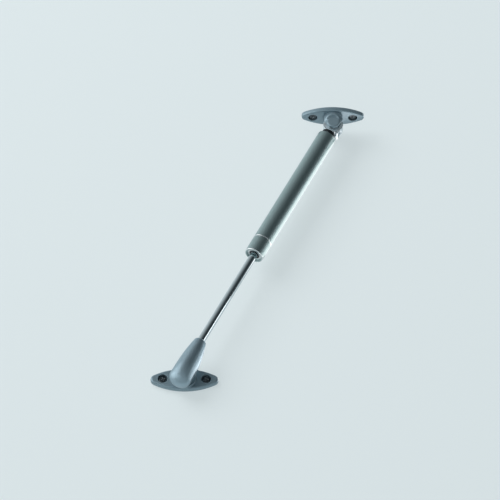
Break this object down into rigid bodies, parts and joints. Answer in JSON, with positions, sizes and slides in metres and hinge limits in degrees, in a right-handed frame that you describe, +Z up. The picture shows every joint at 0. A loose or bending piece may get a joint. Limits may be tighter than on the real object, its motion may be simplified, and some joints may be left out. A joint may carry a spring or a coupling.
{
  "type": "gas strut stay",
  "caption": "Short gas strut stay for a cabinet flap: satin tube on a chrome rod, teardrop ball-joint hood on an oval wall plate, hinged oval plate for the flap.",
  "frame": {"origin": "centre of the wall plate's back face, midway between its screws, on the cabinet side", "axes": "+Y into the cabinet side, +Z up, +X along the cabinet side towards the flap's free edge"},
  "size_m": [0.1637, 0.0323, 0.2671],
  "materials": {
    "plate_paint": "satin silver-grey coat",
    "hood_paint": "satin silver-grey coat",
    "tube_satin": "satin grey coat",
    "rod_chrome": "polished",
    "eye_bright": "bright plated",
    "zinc_steel": "zinc plated",
    "screw_dark": "dark plated",
    "piston_alloy": "turned",
    "cup_plastic": "moulded",
    "guide_plastic": "moulded",
    "seal_rubber": "moulded"
  },
  "bodies": {
    "wall_bracket": {"wall_plate": "plate_paint", "wall_screws": "screw_dark", "stud_washer": "zinc_steel"},
    "ball": {"ball_stud": "zinc_steel"},
    "rod": {"socket_hood": "hood_paint", "ball_cup": "cup_plastic", "cup_clip": "zinc_steel", "piston_rod": "rod_chrome", "rebound_bumper": "seal_rubber", "piston_washer": "zinc_steel", "piston": "piston_alloy", "piston_nut": "zinc_steel"},
    "ring": {"piston_ring": "seal_rubber"},
    "tube": {"pressure_tube": "tube_satin", "end_sleeve": "tube_satin", "retaining_ring": "zinc_steel", "wiper_ring": "seal_rubber", "rod_guide": "guide_plastic", "seal_washer": "zinc_steel", "rod_seal": "seal_rubber", "base_plug": "screw_dark", "end_eye": "eye_bright", "base_seal": "seal_rubber", "eye_bush": "guide_plastic"},
    "flap_bracket": {"flap_plate": "plate_paint", "pivot_pin": "zinc_steel", "pivot_washers": "guide_plastic", "flap_screws": "screw_dark"}
  },
  "joints": [
    {"name": "socket_swivel", "type": "hinge", "parent": "wall_bracket", "child": "ball", "pos_m": [0, -0.0138, 0], "axis": [0, 1, 0], "continuous": true},
    {"name": "socket_tilt", "type": "hinge", "parent": "ball", "child": "rod", "pos_m": [0, -0.0138, 0], "axis": [0.8996, 0, -0.4368], "range_deg": [-4, 4]},
    {"name": "rod_turn", "type": "hinge", "parent": "rod", "child": "ring", "pos_m": [0, -0.0176, 0], "axis": [0.4368, 0, 0.8996], "continuous": true},
    {"name": "gas_stroke", "type": "slide", "parent": "ring", "child": "tube", "axis": [-0.4368, 0, -0.8996], "range_m": [0, 0.085], "stiffness_N_per_m": 280, "springref_m": -0.286},
    {"name": "flap_hinge", "type": "hinge", "parent": "tube", "child": "flap_bracket", "pos_m": [0.1137, -0.0176, 0.23416], "axis": [0, 1, 0], "range_deg": [-64, 115]}
  ]
}
